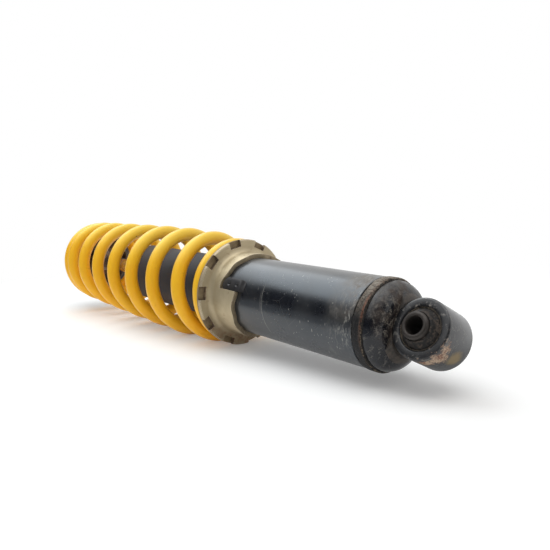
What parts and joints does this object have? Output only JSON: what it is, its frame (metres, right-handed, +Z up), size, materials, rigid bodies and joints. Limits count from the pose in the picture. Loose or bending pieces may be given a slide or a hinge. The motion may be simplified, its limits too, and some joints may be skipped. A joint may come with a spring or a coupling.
{
  "type": "rear shock absorber",
  "caption": "Coil-over rear shock absorber with a barrel spring around its damper, a notched ramped preload collar, and a rubber-bushed eye at each end.",
  "frame": {"origin": "centre of the lower eye's bolt hole", "axes": "+X along the shock's axis from the lower eye to the upper eye, +Z up with the shock lying on its side, +Y horizontal; both bolt holes are rolled 25.6 degrees up from +Y about +X"},
  "size_m": [0.5098, 0.091, 0.091],
  "materials": {
    "black_paint": "gloss, dusty and scratched",
    "yellow_paint": "satin powder coat",
    "plated_steel": "dull champagne plating, tarnished",
    "rusty_band": "worn to rust",
    "worn_steel": "worn",
    "chrome": "polished",
    "aluminium": "machined",
    "bronze": "sintered",
    "seal_rubber": "matte",
    "bush_rubber": "matte, dusty",
    "band_plastic": "matte"
  },
  "bodies": {
    "damper_body": {"lower_eye": "black_paint", "lower_bush_rubber": "bush_rubber", "eye_weld": "black_paint", "end_cap": "black_paint", "end_cap_o_ring": "seal_rubber", "seam_band": "rusty_band", "outer_body": "black_paint", "cam_lug_front": "black_paint", "cam_lug_rear": "black_paint", "spring": "yellow_paint", "damper_tube": "black_paint", "rod_guide": "aluminium", "guide_bushing": "bronze", "guide_o_ring": "seal_rubber", "oil_seal": "seal_rubber", "retaining_ring": "worn_steel", "dust_cap": "black_paint", "dust_wiper": "seal_rubber", "bump_washer": "worn_steel", "bump_stop": "seal_rubber"},
    "lower_sleeve": {"lower_bush_sleeve": "worn_steel"},
    "seat_ring": {"spring_seat_ring": "plated_steel"},
    "collar": {"preload_collar": "plated_steel"},
    "gas_piston": {"floating_piston": "aluminium", "floating_piston_o_ring": "seal_rubber"},
    "upper_seat": {"upper_spring_seat": "black_paint", "seat_keeper_left": "worn_steel", "seat_keeper_right": "worn_steel"},
    "rod": {"piston_rod": "chrome", "piston": "aluminium", "piston_band": "band_plastic", "compression_shims": "worn_steel", "rebound_shims": "worn_steel", "piston_nut": "worn_steel", "top_out_bumper": "seal_rubber", "lock_nut": "worn_steel", "upper_eye": "black_paint", "upper_bush_rubber": "bush_rubber"},
    "upper_sleeve": {"upper_bush_sleeve": "worn_steel"}
  },
  "joints": [
    {"name": "damper_stroke", "type": "slide", "parent": "damper_body", "child": "upper_seat", "axis": [-1, 0, 0], "range_m": [0, 0.065], "stiffness_N_per_m": 35000, "springref_m": -0.015, "deforming": ["spring"]},
    {"name": "rod_turn", "type": "hinge", "parent": "upper_seat", "child": "rod", "pos_m": [0.44, 0, 0], "axis": [1, 0, 0], "range_deg": [-90, 90]},
    {"name": "gas_piston_slide", "type": "slide", "parent": "damper_body", "child": "gas_piston", "axis": [-1, 0, 0], "range_m": [0, 0.0062]},
    {"name": "preload_lift", "type": "slide", "parent": "damper_body", "child": "seat_ring", "axis": [1, 0, 0], "range_m": [0, 0.012], "deforming": ["spring"]},
    {"name": "preload_turn", "type": "hinge", "parent": "seat_ring", "child": "collar", "pos_m": [0.1676, 0, 0], "axis": [-1, 0, 0], "range_deg": [0, 120]},
    {"name": "lower_bush_twist", "type": "hinge", "parent": "damper_body", "child": "lower_sleeve", "pos_m": [0, 0, 0], "axis": [0, 0.9018, 0.4321], "range_deg": [-12, 12], "stiffness_Nm_per_rad": 0.5},
    {"name": "upper_bush_twist", "type": "hinge", "parent": "rod", "child": "upper_sleeve", "pos_m": [0.475, 0, 0], "axis": [0, 0.9018, 0.4321], "range_deg": [-12, 12], "stiffness_Nm_per_rad": 0.5}
  ],
  "couplings": [
    {"joint": "gas_piston_slide", "follows": "damper_stroke", "ratio": 0.092628},
    {"joint": "preload_turn", "follows": "preload_lift", "rad_per_m": 174.53}
  ]
}
